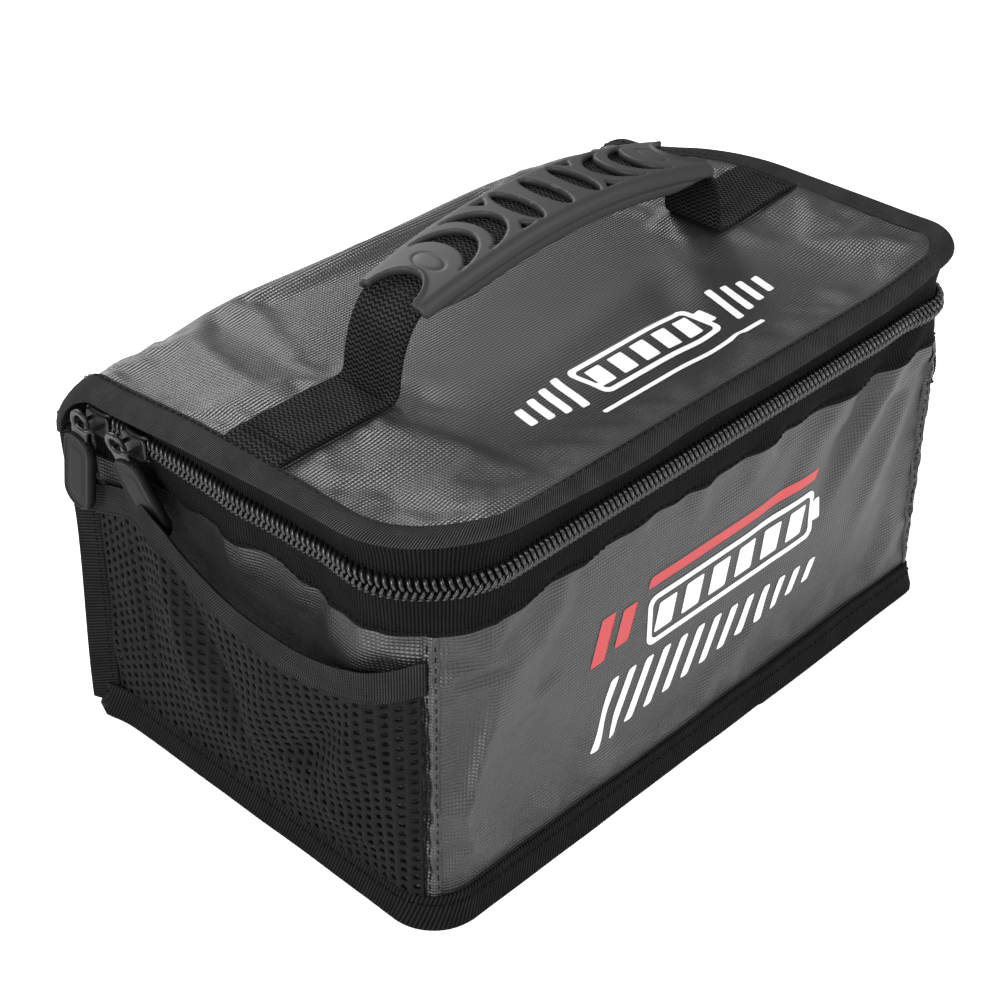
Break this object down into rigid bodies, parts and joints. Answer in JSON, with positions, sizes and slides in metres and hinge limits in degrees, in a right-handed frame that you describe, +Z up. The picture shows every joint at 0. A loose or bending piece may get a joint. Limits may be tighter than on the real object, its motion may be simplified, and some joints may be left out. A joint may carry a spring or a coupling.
{
  "type": "battery safe bag",
  "caption": "Padded box-shaped carry bag with a hinged zipped lid, a webbing carry handle with a moulded grip, zip sliders with rubber pulls, and mesh end pockets.",
  "frame": {"origin": "on the floor under the middle of the bag", "axes": "+X towards the right end, -Y out of the front wall, +Z up"},
  "size_m": [0.2836, 0.1742, 0.1875],
  "materials": {
    "coated_cloth": "grey coated cloth with a fine square weave and a soft shine",
    "felt_padding": "matt felt",
    "fibreglass_lining": "plain weave",
    "binding_tape": "matt ribbed tape",
    "zip_tape": "matt woven tape",
    "zip_coil": "satin",
    "pocket_mesh": "matt net",
    "pocket_elastic": "matt ribbed elastic",
    "webbing": "matt coarse webbing",
    "grip_rubber": "satin",
    "slider_metal": "black, satin",
    "pull_rubber": "satin"
  },
  "bodies": {
    "bag": {"bottom_panel": "coated_cloth", "bottom_binding": "binding_tape", "front_panel": "coated_cloth", "back_panel": "coated_cloth", "left_end_panel": "coated_cloth", "right_end_panel": "coated_cloth", "front_left_seam_strip": "coated_cloth", "front_right_seam_strip": "coated_cloth", "back_left_binding": "binding_tape", "back_right_binding": "binding_tape", "front_padding": "felt_padding", "back_padding": "felt_padding", "left_padding": "felt_padding", "right_padding": "felt_padding", "base_padding": "felt_padding", "front_lining": "fibreglass_lining", "back_lining": "fibreglass_lining", "left_lining": "fibreglass_lining", "right_lining": "fibreglass_lining", "base_lining": "fibreglass_lining", "zip_tape_lower": "zip_tape", "zip_coil_lower": "zip_coil", "left_pocket_mesh": "pocket_mesh", "right_pocket_mesh": "pocket_mesh", "left_pocket_elastic": "pocket_elastic", "right_pocket_elastic": "pocket_elastic"},
    "lid": {"lid_panel": "coated_cloth", "lid_padding": "felt_padding", "lid_lining": "fibreglass_lining", "lid_binding": "binding_tape", "zip_tape_upper": "zip_tape", "zip_coil_upper": "zip_coil", "webbing_left": "webbing", "webbing_right": "webbing"},
    "riser_left": {"handle_riser_left": "webbing"},
    "grip": {"grip": "grip_rubber", "grip_webbing": "webbing"},
    "riser_right": {"handle_riser_right": "webbing"},
    "slider_a": {"slider_a": "slider_metal", "slider_a_bail": "slider_metal"},
    "slider_b": {"slider_b": "slider_metal", "slider_b_bail": "slider_metal"},
    "pull_a": {"pull_a_eye": "slider_metal", "pull_a_rubber": "pull_rubber"},
    "pull_b": {"pull_b_eye": "slider_metal", "pull_b_rubber": "pull_rubber"}
  },
  "joints": [
    {"name": "lid_hinge", "type": "hinge", "parent": "bag", "child": "lid", "pos_m": [0, 0.0812, 0.141], "axis": [-1, 0, 0], "range_deg": [0, 180]},
    {"name": "handle_fold", "type": "hinge", "parent": "lid", "child": "riser_left", "pos_m": [-0.07, -0.0033, 0.149], "axis": [0, 1, 0], "range_deg": [0, 70]},
    {"name": "grip_level", "type": "hinge", "parent": "riser_left", "child": "grip", "pos_m": [-0.07, -0.0033, 0.1715], "axis": [0, 1, 0], "range_deg": [-70, 0]},
    {"name": "riser_right_fold", "type": "hinge", "parent": "lid", "child": "riser_right", "pos_m": [0.077, -0.0033, 0.149], "axis": [0, 1, 0], "range_deg": [0, 70]},
    {"name": "zip_slide_a", "type": "slide", "parent": "bag", "child": "slider_a", "axis": [0, -1, 0], "range_m": [0, 0.004]},
    {"name": "zip_slide_b", "type": "slide", "parent": "bag", "child": "slider_b", "axis": [0, -1, 0], "range_m": [0, 0.055]},
    {"name": "pull_a_swing", "type": "hinge", "parent": "slider_a", "child": "pull_a", "pos_m": [-0.136, 0.0685, 0.1295], "axis": [0, 1, 0], "range_deg": [0, 45]},
    {"name": "pull_b_swing", "type": "hinge", "parent": "slider_b", "child": "pull_b", "pos_m": [-0.136, 0.05, 0.1295], "axis": [0, 1, 0], "range_deg": [0, 4]}
  ],
  "couplings": [
    {"joint": "grip_level", "follows": "handle_fold", "ratio": -1},
    {"joint": "riser_right_fold", "follows": "handle_fold", "ratio": 1}
  ]
}
